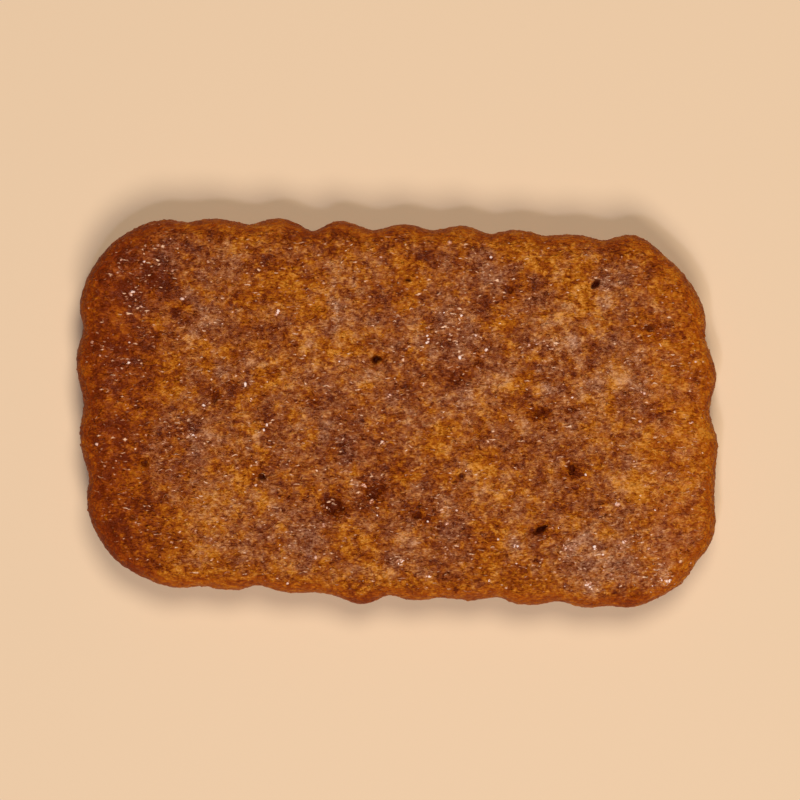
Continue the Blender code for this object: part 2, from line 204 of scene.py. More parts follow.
# and where it set clear and deep, with neither bloom nor painted sheen
SYRUP_PATCHES = (
    (-29.4, 2.0, 1.5, 12.0, 1.0), (-26.8, -10.0, 2.2, 5.5, 0.85), (-24.4, -13.8, 3.6, 2.4, 1.0),
    (-23.6, -9.6, 1.6, 2.4, 0.6), (-25.6, -0.6, 2.0, 2.6, 0.45), (-26.6, 6.4, 2.4, 1.6, 0.5),
    (-18.0, -16.4, 6.0, 1.2, 0.8), (-6.0, -16.8, 7.0, 1.0, 0.7), (3.0, -16.6, 5.0, 1.2, 0.7),
    (9.4, -12.8, 1.2, 2.6, 0.9), (12.2, -15.8, 2.6, 1.3, 0.9), (22.6, -17.0, 2.4, 0.9, 0.6),
    (-27.0, 16.0, 3.0, 1.4, 0.6), (-16.0, 16.6, 5.0, 1.0, 0.4), (-4.0, 16.8, 6.0, 1.2, 0.6),
    (5.4, 17.0, 3.0, 0.9, 0.6), (11.0, 16.8, 3.2, 1.4, 0.85), (13.6, 15.0, 2.0, 1.0, 0.6),
    (22.4, 16.8, 3.6, 1.0, 0.6), (25.4, 14.0, 1.8, 2.4, 0.7), (28.2, 9.0, 1.6, 3.4, 0.55),
    (29.4, 3.6, 1.0, 2.4, 0.5), (29.0, 0.6, 1.6, 1.4, 0.85), (24.5, -2.6, 1.3, 1.3, 0.55),
    (-11.4, 12.0, 3.0, 1.7, 0.8), (-14.4, 10.4, 1.0, 1.2, 0.6), (-8.4, 9.8, 1.0, 1.4, 0.45),
    (-22.2, 3.2, 1.5, 1.9, 1.0), (-12.2, 3.0, 1.2, 1.1, 0.95), (-9.8, -0.4, 1.1, 0.6, 0.6),
    (-21.0, 9.2, 1.1, 0.6, 0.65), (-6.2, 5.9, 1.9, 1.1, 0.55), (-17.2, 5.4, 2.0, 0.9, 0.25),
    (4.3, -2.5, 1.1, 1.8, 0.8), (8.3, -4.0, 1.3, 0.9, 0.75), (0.9, -5.2, 1.3, 1.1, 0.6),
    (-1.6, -7.6, 0.8, 0.8, 0.65), (3.2, -9.7, 0.9, 0.7, 0.7), (-3.8, -12.0, 1.6, 1.5, 0.5),
    (-5.3, -9.2, 0.6, 1.6, 0.5), (-13.8, -6.2, 1.0, 1.6, 0.35), (0.6, 13.2, 1.4, 2.2, 0.6),
    (12.6, 4.2, 1.2, 0.6, 0.65), (13.4, 1.0, 0.8, 0.7, 0.6), (16.8, -4.6, 0.9, 0.8, 0.6),
    (16.8, 12.8, 1.3, 2.0, 0.7), (10.4, 12.2, 0.6, 1.2, 0.55), (9.7, 8.8, 0.8, 1.1, 0.6),
    (23.8, 8.2, 1.4, 1.1, 0.35), (-21.0, -12.0, 2.2, 2.4, 0.5), (10.8, 2.4, 0.9, 0.9, 0.35),
    (23.1, -6.3, 1.6, 1.3, 0.55), (-26.6, 11.4, 1.2, 0.8, 0.3),
)
# and where it ran and set glossy
GLOSSY_PATCHES = (
    (-26.0, 10.2, 2.0, 1.6, 0.1), (-23.0, 14.0, 3.0, 1.6, 0.5), (-28.0, 4.2, 1.4, 1.2, 0.6),
    (-26.0, 3.6, 1.8, 1.0, 0.5), (-20.0, -2.0, 1.6, 1.6, 0.7), (-18.6, 0.2, 1.4, 0.9, 0.6),
    (-24.0, -11.4, 0.8, 1.2, 0.5), (-27.0, -4.2, 1.6, 1.6, 0.5), (-6.5, -10.2, 1.2, 1.0, 0.6),
    (-9.2, -11.6, 2.0, 1.8, 0.5), (-2.4, -7.6, 1.4, 1.4, 0.7), (-5.8, -8.8, 1.0, 1.0, 0.7),
    (0.6, 2.0, 1.2, 1.8, 0.6), (-1.2, 1.6, 1.4, 1.6, 0.5), (4.6, 7.4, 2.6, 2.6, 0.7),
    (4.2, 9.8, 2.4, 1.0, 0.6), (5.0, -8.6, 2.0, 1.4, 0.5), (6.0, -11.8, 2.0, 2.0, 0.5),
    (11.6, -12.4, 1.2, 1.2, 0.5), (17.6, -12.6, 3.2, 2.6, 0.7), (22.4, -11.4, 2.4, 1.6, 0.6),
    (25.8, -14.2, 1.6, 1.8, 0.7), (19.0, -15.4, 2.0, 1.4, 0.6), (13.6, 6.8, 2.2, 1.0, 0.4),
    (18.9, 13.2, 1.2, 0.8, 0.6), (23.8, 8.6, 1.6, 1.2, 0.5), (1.0, -14.2, 1.6, 1.2, 0.4),
    (-5.2, -3.0, 1.2, 1.0, 0.3), (-14.6, 2.6, 0.8, 1.6, 0.4), (8.6, 13.6, 1.8, 1.8, 0.4),
)
# and the small spots in them where whole beads of sugar lie close together, painted brightest as highlights
BEAD_AND_HIGHLIGHT_SPOTS = (
    (-25.6, 10.5, 0.25, 0.2, 1.3), (-25.0, 9.2, 0.4, 0.2, 0.8), (-26.5, 13.6, 0.3, 0.2, 0.6),
    (-23.2, 15.0, 0.3, 0.2, 0.4), (-20.6, 10.3, 0.45, 0.2, 0.7), (-28.3, 4.5, 0.2, 0.25, 0.6),
    (-25.6, 3.8, 0.25, 0.2, 0.8), (-26.2, 3.9, 0.2, 0.15, 0.5), (-27.3, 1.8, 0.35, 0.25, 0.4),
    (-28.3, -4.1, 0.25, 0.2, 0.8), (-26.5, -4.5, 0.3, 0.2, 0.5), (-18.2, 0.0, 0.3, 0.2, 0.8),
    (-19.3, -2.8, 0.35, 0.2, 0.7), (-18.8, -4.5, 0.25, 0.15, 0.5), (-14.5, 2.2, 0.25, 0.2, 0.6),
    (-14.5, 3.3, 0.25, 0.15, 0.5), (-6.5, 9.4, 0.35, 0.2, 0.5), (-5.7, 8.3, 0.3, 0.2, 0.4),
    (-11.8, 9.1, 0.2, 0.25, 0.5), (-8.6, 13.9, 0.3, 0.15, 0.4), (-0.8, 1.5, 0.25, 0.35, 0.5),
    (0.6, 2.8, 0.3, 0.2, 1.1), (-1.3, -2.8, 0.3, 0.2, 0.7), (-2.8, -6.8, 0.25, 0.2, 0.8),
    (-2.0, -8.4, 0.25, 0.2, 0.9), (-6.6, -10.8, 0.25, 0.25, 0.9), (-5.7, -8.6, 0.3, 0.3, 0.5),
    (-24.0, -11.2, 0.25, 0.2, 0.6), (-17.2, -12.5, 0.2, 0.15, 0.5), (-12.9, -7.3, 0.25, 0.15, 0.6),
    (-2.1, 17.0, 0.2, 0.15, 0.5), (2.6, 7.1, 0.25, 0.35, 1.0), (5.3, 6.8, 0.25, 0.2, 0.7),
    (5.8, 5.7, 0.25, 0.2, 0.9), (4.0, 9.8, 0.3, 0.15, 0.7), (8.2, 6.3, 0.25, 0.15, 0.4),
    (9.2, 13.0, 0.3, 0.2, 0.5), (10.9, 13.7, 0.3, 0.15, 0.5), (2.1, 15.7, 0.25, 0.15, 0.4),
    (18.9, 13.4, 0.4, 0.2, 0.8), (13.1, 7.2, 0.35, 0.15, 0.8), (8.2, 3.0, 0.3, 0.15, 0.5),
    (9.6, 3.3, 0.2, 0.15, 0.6), (14.2, 2.7, 0.35, 0.15, 0.6), (12.6, 1.4, 0.2, 0.15, 0.6),
    (11.3, -0.4, 0.2, 0.15, 0.6), (17.5, 0.9, 0.2, 0.15, 0.6), (2.9, -0.8, 0.2, 0.15, 0.6),
    (6.6, -1.5, 0.25, 0.15, 0.5), (22.4, -3.6, 0.3, 0.2, 0.8), (23.2, 2.0, 0.25, 0.2, 0.5),
    (22.8, 6.2, 0.3, 0.25, 0.5), (27.8, 4.8, 0.2, 0.15, 0.6), (21.2, -7.5, 0.2, 0.2, 1.3),
    (2.9, -6.6, 0.25, 0.15, 0.7), (1.7, -9.0, 0.2, 0.15, 0.5), (5.9, -8.6, 0.25, 0.15, 0.6),
    (11.6, -12.0, 0.3, 0.25, 1.0), (16.6, -12.0, 0.35, 0.25, 0.9), (19.2, -11.9, 0.4, 0.2, 0.8),
    (22.1, -11.2, 0.3, 0.2, 0.9), (1.1, -13.9, 0.35, 0.25, 0.7), (3.6, -15.2, 0.3, 0.2, 0.8),
    (18.8, -15.3, 0.25, 0.25, 0.9), (19.0, -16.5, 0.3, 0.2, 0.5), (26.3, -14.8, 0.3, 0.2, 1.2),
    (25.8, -14.3, 0.3, 0.2, 0.5), (15.1, -10.2, 0.2, 0.15, 0.6), (18.8, -8.2, 0.3, 0.15, 0.5),
)
PATCH_FADE = 0.9  # how fast a patch fades from its middle
PATCH_WANDER = (1.1 * MM, 0.6 * MM)  # how wide and how far the patches' edges wander
PIT_WANDER = (0.5 * MM, 0.13 * MM)  # and the pits'
PIT_SLOPE = (0.35, 1.25)  # where a pit's slope begins and ends, as shares of its half width
WANDER_SEED = 5

# The crust's browns, by tone: saturated, greyish, and on the rim. The greyish row is partly painted sheen.
SATURATED_BROWNS = (
    (0.00, (0.090, 0.0115, 0.0001)),
    (0.22, (0.170, 0.0295, 0.0004)),
    (0.42, (0.270, 0.0635, 0.0010)),
    (0.60, (0.380, 0.1145, 0.0030)),
    (0.78, (0.503, 0.1920, 0.0130)),
    (1.00, (0.663, 0.3200, 0.0700)),
)
GREYISH_BROWNS = (
    (0.00, (0.080, 0.0115, 0.0010)),
    (0.22, (0.142, 0.0290, 0.0058)),
    (0.42, (0.206, 0.0675, 0.0280)),
    (0.60, (0.284, 0.1190, 0.0630)),
    (0.78, (0.385, 0.1985, 0.1300)),
    (1.00, (0.560, 0.3470, 0.2650)),
)
RIM_BROWNS = (
    (0.00, (0.200, 0.0270, 0.0004)),
    (0.35, (0.310, 0.0600, 0.0010)),
    (0.65, (0.420, 0.1100, 0.0028)),
    (1.00, (0.580, 0.2200, 0.0140)),
)
# Painted shade: the pits are coloured near black, deepening the shade of their hollows
PIT_SHADE_BROWN = (0.070, 0.009, 0.001, 1.0)
# The colours of fine glints and of whole beads of sugar, from faint to full: pale sugar, painted brighter
# towards full as a highlight
GLINT_COLOURS = (
    (0.0, (0.46, 0.190, 0.090)),
    (0.5, (0.62, 0.330, 0.200)),
    (1.0, (0.86, 0.600, 0.460)),
)
BEAD_AND_HIGHLIGHT_COLOURS = (
    (0.0, (0.42, 0.170, 0.090)),
    (0.5, (0.68, 0.380, 0.300)),
    (1.0, (0.98, 0.880, 0.950)),
)

# The tone, from 0 for the darkest brown to 1 for the palest
MIDDLE_TONE = 0.51
GOLDEN_SHARE, DARK_SHARE = 0.36, 0.49  # how far the patches move it
# and the biscuit's ends: painted shade darkens the left end and painted light pales the right one, where
# the light falls off along the biscuit, and both ends are redder; with the places between which they come in
LEFT_END_PAINTED_SHADE, RIGHT_END_PAINTED_LIGHT, ENDS_REDDER = 0.17, 0.09, 0.48
LEFT_END, RIGHT_END, BOTH_ENDS = (-18 * MM, -28 * MM), (14 * MM, 30 * MM), (19 * MM, 29 * MM)

# Sizes in the pattern
COARSE_CRUMB, FINE_CRUMB, FINEST_GRAIN = 0.62 * MM, 0.30 * MM, 0.26 * MM
CRUMB_BLEND = 0.35  # how far a coarse grain's middle blends into the next one's
JOSTLE = (0.7 * MM, 0.28 * MM)  # how wide and how far the crumb is pushed about
MOTTLE, BLOOM_AND_SHEEN_MOTTLE, SPARKLE, PORE_SHADE_CELLS = 1.2 * MM, 1.5 * MM, 0.31 * MM, 0.9 * MM
BLOOM_AND_SHEEN_SHIFT, SPARKLE_SHIFT, PORE_SHIFT = 31.0, 17.0, 43.0  # millimetres
STRETCH = 1.10  # the crumb is drawn out along the biscuit by this much, and drawn in across it
STREAK = 1.38  # and its finest grain by this much more
STREAK_TURN = math.radians(5)
BUMP = 0.35 * MM  # how deep the pattern reads

# The relief by layers: name, part, height or a factor for the setting of that name, texture, its size, and
# its tone that stays level
RELIEF = (
    ("lumps", "face", 1, "CLOUDS", 1.5 * MM, 0.5),
    ("crumb", "face", -1, "VORONOI", COARSE_CRUMB, 0.45),
    ("grain", "face", 1, "CLOUDS", 0.34 * MM, 0.5),
    ("wall_lumps", "wall", 0.16 * MM, "CLOUDS", 0.9 * MM, 0.5),
    ("wall_crumb", "wall", -0.20 * MM, "VORONOI", 0.7 * MM, 0.45),
    ("under_pores", "under", -0.08 * MM, "CLOUDS", 1.6 * MM, 0.0),
)
RELIEF_UNIT, RELIEF_MOST = 0.12 * MM, 1.5  # the height that counts as 1, and the most that counts
# The heights between which the wall turns into the plain side
RELIEF_RISE, PATCH_RISE, RIM_RISE = (3.2 * MM, 5.2 * MM), (3.6 * MM, 5.0 * MM), (2.0 * MM, 4.4 * MM)
RIM_FACING = (0.60, 0.985)  # how far upwards the crust faces where the rim's brown begins to fade, and ends
WEIGHT_STEPS = 50

GRAIN_SEED, BEAD_SEED, BEAD_HIGHLIGHT_SEED, GRAIN_TONE_SEED = 5, 11, 12, 6
GRAIN_AXES = (1.0, 0.85, 0.75)  # a grain's three radii, as shares of the first

# The stage
FLOOR_SIDE = 1.6
WORLD_COLOUR, WORLD_STRENGTH = (1.0, 0.7, 0.42, 1.0), 0.06
WARM, CLEAR = (1.0, 0.8, 0.6), (0.88, 0.86, 1.0)
LIGHTS = (  # name, the setting of its power, its share of that, size, place and colour
    ("front light", "key_power", 1.0, 0.25, (0.05, -0.3, 0.52), WARM),
    ("back light", "fill_power", 1.0, 0.25, (0.05, 0.2, 0.57), WARM),
    ("spark light", "key_power", 0.19, 0.05, (-0.06, -0.22, 0.56), CLEAR),
)


class CrustSettings(bpy.types.PropertyGroup):
    voxel: bpy.props.FloatProperty(
        name="Mesh size", description="Length of the fine mesh's edges before it is thinned",
        default=0.14 * MM, min=0.08 * MM, unit="LENGTH", precision=5)
    triangles: bpy.props.IntProperty(
        name="Triangles", description="How many triangles the finished crust keeps", default=192000)
    lumps: bpy.props.FloatProperty(
        name="Lumps", description="Height of the soft lumps in the plain side", default=0.16 * MM,
        unit="LENGTH", precision=5)
    crumb: bpy.props.FloatProperty(
        name="Crumb", description="Height of the crumb's grains", default=0.26 * MM,
        unit="LENGTH", precision=5)
    grain: bpy.props.FloatProperty(
        name="Grain", description="Height of the finest grain", default=0.22 * MM,
        unit="LENGTH", precision=5)
    film: bpy.props.FloatProperty(
        name="Film", description="Weight of the thin gloss over the bloom", default=0.10, min=0.0, max=1.0,
        subtype="FACTOR")
    gloss: bpy.props.FloatProperty(
        name="Gloss", description="Weight of the gloss on the sugar glints", default=0.35, min=0.0, max=1.0,
        subtype="FACTOR")
    # the sugar glints are painted highlights in the colour, over pale sugar
    sugar: bpy.props.FloatProperty(
        name="Sugar", description="How pale the sugar glints are", default=0.95, min=0.0, max=1.0,
        subtype="FACTOR")


class GlintSettings(bpy.types.PropertyGroup):
    grains: bpy.props.IntProperty(
        name="Grains", description="How many grains of crumb stand proud of the crust", default=9500)
    grain_size: bpy.props.FloatProperty(
        name="Grain size", description="Radius of the largest grains of crumb", default=0.27 * MM,
        unit="LENGTH", precision=5)
    beads: bpy.props.IntProperty(
        name="Beads", description="How many beads of sugar sit on the crust", default=230)
    bead_size: bpy.props.FloatProperty(
        name="Bead size", description="Radius of the largest beads of sugar", default=0.27 * MM,
        unit="LENGTH", precision=5)


class StageSettings(bpy.types.PropertyGroup):
    floor_colour: bpy.props.FloatVectorProperty(
        name="Floor", description="Colour of the floor", default=(0.78, 0.68, 0.56), subtype="COLOR",
        min=0.0, max=1.0)
    camera_height: bpy.props.FloatProperty(
        name="Camera height", description="Height of the camera over the biscuit's widest outline",
        default=0.5, unit="LENGTH")
    key_power: bpy.props.FloatProperty(
        name="Key light", description="Power of the soft light from the front", default=2.0, unit="POWER")
    fill_power: bpy.props.FloatProperty(
        name="Back light", description="Power of the soft light from behind", default=1.9,
        unit="POWER")


# Helpers

def deselect():
    for other in bpy.context.view_layer.objects:
        other.select_set(False)


def activate(piece):
    """Makes a piece the only one selected, and active."""
    deselect()
    piece.select_set(True)
    bpy.context.view_layer.objects.active = piece


def new_object(name, data):
    made = bpy.data.objects.new(name, data)
    bpy.context.scene.collection.objects.link(made)
    return made


def apply_modifier(piece, name, kind, **settings):
    """Adds a modifier to a piece and applies it."""
    activate(piece)
    modifier = piece.modifiers.new(name, kind)
    for key, value in settings.items():
        setattr(modifier, key, value)
    bpy.ops.object.modifier_apply(modifier=name)


def points_of(mesh, what="co"):
    """The places of the mesh's points, or their normals, as an array, one row each."""
    flat = np.empty(len(mesh.vertices) * 3, np.float32)
    mesh.vertices.foreach_get(what, flat)
    return flat.reshape(-1, 3)


def smoothstep(low, high, value):
    """0 up to low and 1 from high on, with a smooth rise between."""
    t = np.clip((value - low) / (high - low), 0.0, 1.0)
    return t * t * (3.0 - 2.0 * t)


def at_least(share, value):
    """A share, which a value from 0 to 1 raises to 1."""
    return share + (1.0 - share) * value


def weigh(piece, name, weights):
    """Gives the piece a vertex group with a weight for each point."""
    group = piece.vertex_groups.new(name=name)
    steps = np.round(np.clip(weights, 0.0, 1.0) * WEIGHT_STEPS).astype(int)
    for step in range(1, WEIGHT_STEPS + 1):
        chosen = np.nonzero(steps == step)[0]
        if len(chosen):
            group.add(chosen.tolist(), step / WEIGHT_STEPS, "REPLACE")


def paint(mesh, name, values):
    """Stores a value for each point of the mesh, for the material to read."""
    layer = mesh.attributes.new(name, "FLOAT", "POINT")
    layer.data.foreach_set("value", np.asarray(values, np.float32))


def painted(mesh, name):
    """The values that paint stored."""
    values = np.empty(len(mesh.vertices), np.float32)
    mesh.attributes[name].data.foreach_get("value", values)
    return values


def patch_cover(x, y, patches):
    """How much the patches cover each place: 1 in the middle of a patch of full strength."""
    cover = np.zeros(len(x))
    for patch_x, patch_y, half_length, half_width, strength in patches:
        off = ((x - patch_x * MM) / (half_length * MM)) ** 2 + ((y - patch_y * MM) / (half_width * MM)) ** 2
        cover = np.maximum(cover, strength * np.exp(-off * PATCH_FADE))
    return cover


def wander(points, width, reach):
    """The x and y of points, moved by soft noise, so that patches get uneven edges."""
    noise.seed_set(WANDER_SEED)  # without it the noise differs from run to run
    wandered = np.empty((len(points), 2))
    for i, p in enumerate(points):
        drift = noise.noise_vector(Vector(p) / width)
        wandered[i] = p[0] + drift.x * reach, p[1] + drift.y * reach
    return wandered[:, 0], wandered[:, 1]


def baked_looks(points):
    """What the patches and the biscuit's ends do at each point: how pale it baked, with painted shade at the
    left end and painted light at the right end; how much bloom and its painted sheen grey it; how glossy it
    is; and how much of the rim's brown it has."""
    x, y = wander(points, *PATCH_WANDER)
    upper = smoothstep(*PATCH_RISE, points[:, 2])
    pale = GOLDEN_SHARE * patch_cover(x, y, GOLDEN_PATCHES) - DARK_SHARE * patch_cover(x, y, DARK_PATCHES)
    # painted shade at the left end and painted light at the right end, added to the tone
    ends = RIGHT_END_PAINTED_LIGHT * smoothstep(*RIGHT_END, x) - LEFT_END_PAINTED_SHADE * smoothstep(*LEFT_END, x)
    return {
        "pale": pale * upper + ends,
        "bloom_and_sheen": patch_cover(x, y, BLOOM_AND_SHEEN_PATCHES) - patch_cover(x, y, SYRUP_PATCHES),
        "glossy": patch_cover(x, y, GLOSSY_PATCHES) * upper,
        "end": ENDS_REDDER * smoothstep(*BOTH_ENDS, np.abs(x)),
    }


def pit_weights(x, y):
    """How deep the pits go at each place, as a share of the deepest one's depth, and that depth."""
    deepest = max(depth for *_, depth, _ in PITS)
    weights = np.zeros(len(x))
    for pit_x, pit_y, half_length, half_width, depth, turn in PITS:
        c, s = math.cos(math.radians(turn)), math.sin(math.radians(turn))
        dx, dy = x / MM - pit_x, y / MM - pit_y
        off = np.hypot((c * dx + s * dy) / half_length, (c * dy - s * dx) / half_width)
        weights = np.maximum(weights, depth / deepest * (1.0 - smoothstep(*PIT_SLOPE, off)))
    return weights, deepest * MM


# Materials

def new_material(name):
    material = bpy.data.materials.new(name)
    material.use_nodes = True
    tree = material.node_tree
    return material, tree, tree.nodes["Principled BSDF"]


def feed(tree, node, inputs):
    """Sets each input of a node that is given, or links it where its value is a socket."""
    for name, value in inputs.items():
        if isinstance(value, bpy.types.NodeSocket):
            tree.links.new(value, node.inputs[name])
        else:
            node.inputs[name].default_value = value


def add(tree, kind, inputs, **settings):
    """Adds a node with settings of its own, and feeds its inputs."""
    made = tree.nodes.new(kind)
    for key, value in settings.items():
        setattr(made, key, value)
    feed(tree, made, inputs)
    return made


def maths(tree, operation, a, b, clamp=False):
    return add(tree, "ShaderNodeMath", {0: a, 1: b}, operation=operation, use_clamp=clamp).outputs[0]


def scaled(tree, value, factor, start, clamp=False):
    """A value times a factor, plus a start."""
    made = add(tree, "ShaderNodeMath", {0: value, 1: factor, 2: start}, operation="MULTIPLY_ADD",
               use_clamp=clamp)
    return made.outputs[0]


def about_zero(tree, value):
    """A value from 0 to 1, moved so that it lies evenly about 0."""
    return scaled(tree, value, 1.0, -0.5)


def drawn_out(tree, place, stretch, turn=0.0):
    """The place, in which a pattern is drawn out along the biscuit."""
    shape = {"Vector": place, "Rotation": (0.0, 0.0, turn), "Scale": (stretch, 1.0 / stretch, 1.0)}
    return add(tree, "ShaderNodeMapping", shape, vector_type="TEXTURE").outputs["Vector"]


def jostled(tree, place, size, reach):
    """The place pushed about by soft noise, so that a pattern's cells and streaks lose their order."""
    drift = add(tree, "ShaderNodeTexNoise", {"Vector": place, "Scale": 1.0 / size}).outputs["Color"]
    push = {0: drift, 1: (2 * reach, 2 * reach, 2 * reach), 2: place}
    return add(tree, "ShaderNodeVectorMath", push, operation="MULTIPLY_ADD").outputs[0]


def shifted(tree, place, by):
    """The place moved far off, by uneven steps, so that two noises don't run alike."""
    step = (by * MM, by * MM * 0.7, by * MM * 0.3)
    return add(tree, "ShaderNodeVectorMath", {0: place, 1: step}, operation="ADD").outputs[0]


def attribute(tree, name):
    """What paint stored under a name."""
    return add(tree, "ShaderNodeAttribute", {}, attribute_name=name).outputs["Fac"]


def noise_at(tree, place, size, detail=0.0, roughness=0.5):
    """Noise with features of a size in metres."""
    made = add(tree, "ShaderNodeTexNoise", {
        "Vector": place, "Scale": 1.0 / size, "Detail": detail, "Roughness": roughness})
    return made.outputs["Fac"]


def ramp(tree, value, stops):
    """The colour at a value, in a row of colours with their places."""
    made = add(tree, "ShaderNodeValToRGB", {"Fac": value})
    band = made.color_ramp
    while len(band.elements) < len(stops):
        band.elements.new(0.5)
    for element, (place, colour) in zip(band.elements, stops):
        element.position = place
        element.color = (*colour, 1.0)
    return made.outputs["Color"]


def blend_colours(tree, share, a, b):
    """One colour, which a share turns into another. A Mix node's inputs 6 and 7 and output 2 are colours."""
    return add(tree, "ShaderNodeMix", {"Factor": share, 6: a, 7: b}, data_type="RGBA").outputs[2]


def crumb_cells(tree, place, size, blend=0.0):
    """Grains of a size that fill the crust: how far each place is from its grain's middle, and the grain's
    chances, three random values that a colour's channels hold. Blend softens the change to the next grain."""
    soft = {"Smoothness": blend} if blend else {}
    cells = add(tree, "ShaderNodeTexVoronoi", {"Vector": place, "Scale": 1.0 / size, **soft},
                feature="SMOOTH_F1" if blend else "F1")
    chances = add(tree, "ShaderNodeSeparateColor", {"Color": cells.outputs["Color"]})
    return cells.outputs["Distance"], chances.outputs


def added(tree, start, *parts, clamp=False):
    """A value plus shares of others: each part is a value and its share. Only the last sum is clamped."""
    for value, share in parts:
        start = maths(tree, "ADD", start, maths(tree, "MULTIPLY", value, share))
    start.node.use_clamp = clamp
    return start


def specks(tree, place, size, crowd, radii, soft):
    """Specks, one to a cell, each strongest in its middle, where a cell's chance and the crowd pass 1."""
    distance, chances = crumb_cells(tree, place, size)
    sharp, (least, most) = 5.0, radii
    chosen = scaled(tree, maths(tree, "ADD", chances["Blue"], crowd), sharp, -sharp, clamp=True)
    reach = scaled(tree, chances["Red"], most - least, least)
    middle = scaled(tree, maths(tree, "SUBTRACT", reach, distance), 1.0 / soft, 0.0, clamp=True)
    return maths(tree, "MULTIPLY", chosen, middle)


def crust_bloom_and_sheen(tree, place, coarse):
    """How much a dull bloom and its painted sheen grey the crust: 0 where the sugar set clear, 1 where it is
    all bloom and sheen.
    """
    start, by_mottle, by_grain, by_patch = -1.20, 2.6, 0.3, 0.80
    mottle = noise_at(tree, shifted(tree, place, BLOOM_AND_SHEEN_SHIFT), BLOOM_AND_SHEEN_MOTTLE, detail=3.5, roughness=0.8)
    return added(tree, start, (mottle, by_mottle), (coarse["Green"], by_grain),
                 (attribute(tree, "bloom_and_sheen"), by_patch), clamp=True)


def sugar_and_painted_glints(tree, place, coarse, bloom_and_sheen):
    """The mask of fine glints of sugar all over, that crowd on some grains of crumb and where the sugar ran
    and set.
    It paints pale sugar and highlights into the colour, and weights the real glossy coat.
    """
    start, contrast, fade = -0.765, 5.5, 1.3
    by_grain, where_glossy, where_bloom_and_sheen, on_rim = 0.13, 0.09, 0.05, -0.09
    sparkle = noise_at(tree, shifted(tree, place, SPARKLE_SHIFT), SPARKLE)
    wet = added(tree, start, (coarse["Blue"], by_grain), (attribute(tree, "glossy"), where_glossy),
                (bloom_and_sheen, where_bloom_and_sheen), (attribute(tree, "rim"), on_rim))
    glint = maths(tree, "MULTIPLY", maths(tree, "ADD", sparkle, wet), contrast, clamp=True)
    return maths(tree, "POWER", glint, fade)


def crust_colour(tree, place, coarse, fine, grain, bloom_and_sheen):
    """The crust's colour: mottled tones, in a saturated and a greyish row of browns that the bloom and its
    painted sheen mix. Pores and sunken crumb get painted shade, raised crumb painted light.
    """
    contrast, by_grain, by_crumb, on_bloom_and_sheen, in_pore_shade, painted_shade_by_height = 1.04, 1.1, 0.28, -0.04, -0.30, 0.05
    mottle = noise_at(tree, place, MOTTLE, detail=2.0, roughness=0.75)
    # Painted shade: dark specks where pores would lie in shade; the mesh has no hollows for them
    pore_shade = specks(tree, shifted(tree, place, PORE_SHIFT), PORE_SHADE_CELLS, crowd=0.16, radii=(0.2, 0.45), soft=0.25)
    # Painted light and shade by height: the relief share makes raised crumb paler and sunken crumb darker
    tone = added(tree, MIDDLE_TONE - contrast / 2, (mottle, contrast), (about_zero(tree, grain), by_grain),
                 (bloom_and_sheen, on_bloom_and_sheen), (about_zero(tree, coarse["Red"]), by_crumb),
                 (about_zero(tree, fine["Red"]), by_crumb), (pore_shade, in_pore_shade), (attribute(tree, "pale"), 1.0),
                 (attribute(tree, "relief"), painted_shade_by_height), (attribute(tree, "lift_and_highlight"), 1.0))
    colour = blend_colours(tree, bloom_and_sheen, ramp(tree, tone, SATURATED_BROWNS), ramp(tree, tone, GREYISH_BROWNS))
    rim = maths(tree, "ADD", maths(tree, "ADD", attribute(tree, "rim"), attribute(tree, "end")),
                about_zero(tree, mottle), clamp=True)
    return blend_colours(tree, rim, colour, ramp(tree, tone, RIM_BROWNS))


def crust_material(settings):
    material, tree, shader = new_material("baked crust")
    place = add(tree, "ShaderNodeTexCoord", {}).outputs["Object"]
    loose = jostled(tree, drawn_out(tree, place, STRETCH), *JOSTLE)
    coarse_distance, coarse = crumb_cells(tree, loose, COARSE_CRUMB, CRUMB_BLEND)
    fine_distance, fine = crumb_cells(tree, loose, FINE_CRUMB)
    streaky = drawn_out(tree, loose, STREAK, STREAK_TURN)
    grain = noise_at(tree, streaky, FINEST_GRAIN, detail=1.0, roughness=0.7)
    bloom_and_sheen = crust_bloom_and_sheen(tree, place, coarse)
    sugar = sugar_and_painted_glints(tree, streaky, coarse, bloom_and_sheen)
    colour = crust_colour(tree, place, coarse, fine, grain, bloom_and_sheen)
    # Painted highlight: the glints are mixed into the base colour as pale pink cream, besides the coat's real
    # gloss
    painted_glints = maths(tree, "MULTIPLY", sugar, settings.sugar)
    colour = blend_colours(tree, painted_glints, colour, ramp(tree, sugar, GLINT_COLOURS))
    # painted shade in the pits
    colour = blend_colours(tree, attribute(tree, "pit"), colour, PIT_SHADE_BROWN)

    off_rim = maths(tree, "SUBTRACT", 1.0, attribute(tree, "rim"))
    film = maths(tree, "MULTIPLY", maths(tree, "MULTIPLY", bloom_and_sheen, off_rim), settings.film)
    coat = maths(tree, "ADD", film, maths(tree, "MULTIPLY", sugar, settings.gloss), clamp=True)

    height = added(tree, 0.0, (grain, 0.60), (coarse_distance, -0.35), (fine_distance, -0.12), (sugar, 0.15))
    bumps = {"Strength": 1.0, "Distance": BUMP, "Height": height}
    bump = add(tree, "ShaderNodeBump", bumps).outputs["Normal"]
    feed(tree, shader, {
        "Base Color": colour, "Roughness": 0.55, "Specular IOR Level": 0.10, "Coat Weight": coat,
        "Coat Roughness": 0.24, "Coat IOR": 1.9, "Normal": bump, "Coat Normal": bump})
    return material


def bead_material():
    """Sugar that set clear and pale over the brown, with painted highlights up to near white in the brightest
    beads.
    """
    material, tree, shader = new_material("set sugar")
    feed(tree, shader, {
        "Base Color": ramp(tree, attribute(tree, "lift_and_highlight"), BEAD_AND_HIGHLIGHT_COLOURS), "Roughness": 0.25,
        "Specular IOR Level": 0.5, "Coat Weight": 0.6, "Coat Roughness": 0.15})
    return material


